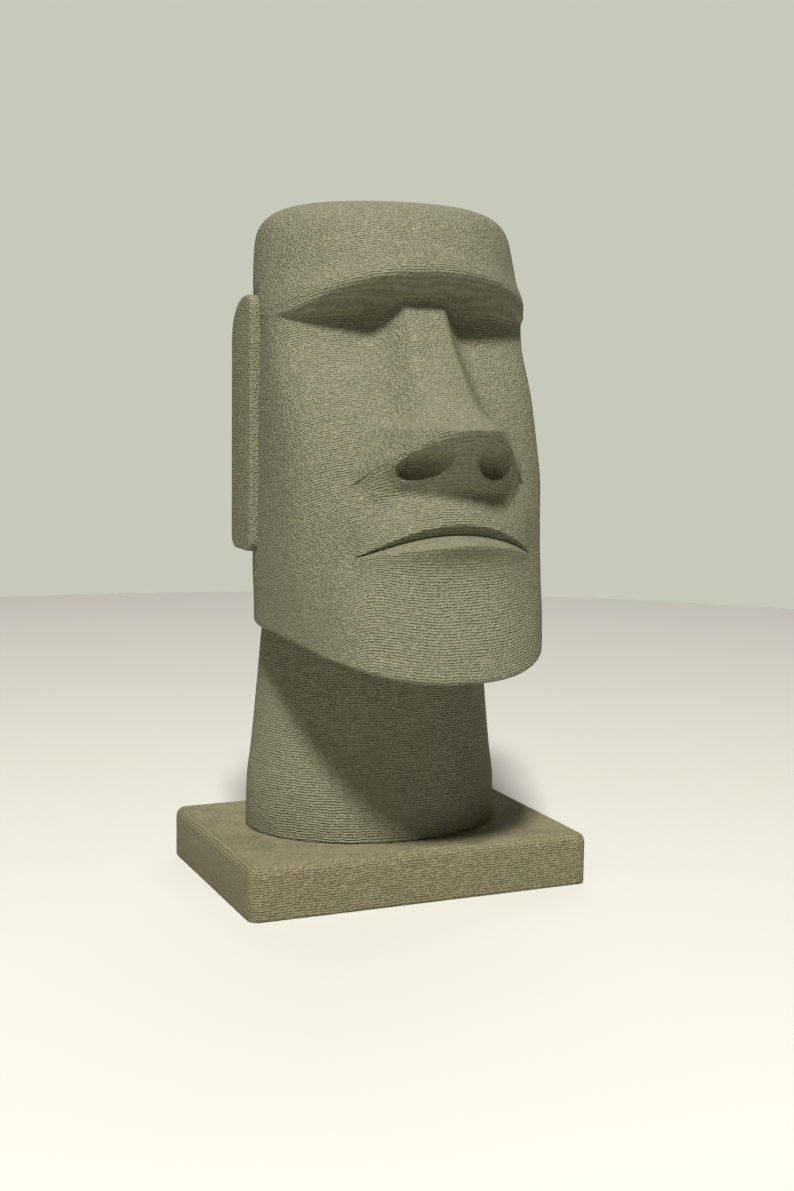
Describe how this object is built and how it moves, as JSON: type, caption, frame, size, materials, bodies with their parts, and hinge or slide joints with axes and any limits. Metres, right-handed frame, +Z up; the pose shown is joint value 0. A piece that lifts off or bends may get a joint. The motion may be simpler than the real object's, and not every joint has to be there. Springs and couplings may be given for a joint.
{
  "type": "moai head statue",
  "caption": "Desk-size moai head statue with long ears, deep brow and pouting mouth, standing on a low rectangular plinth as a table ornament.",
  "frame": {"origin": "centre of the plinth's underside, on the surface the statue stands on", "axes": "+Z up, the face looks along -Y, +X is to the viewer's right when seen from the front"},
  "size_m": [0.1, 0.0965, 0.188],
  "materials": {
    "plinth": "matte olive-grey plastic in fine printed layers with a grainy surface",
    "head": "matte olive-grey plastic in fine printed layers with a grainy surface"
  },
  "bodies": {
    "root": {"plinth": "plinth", "head": "head"}
  },
  "joints": []
}
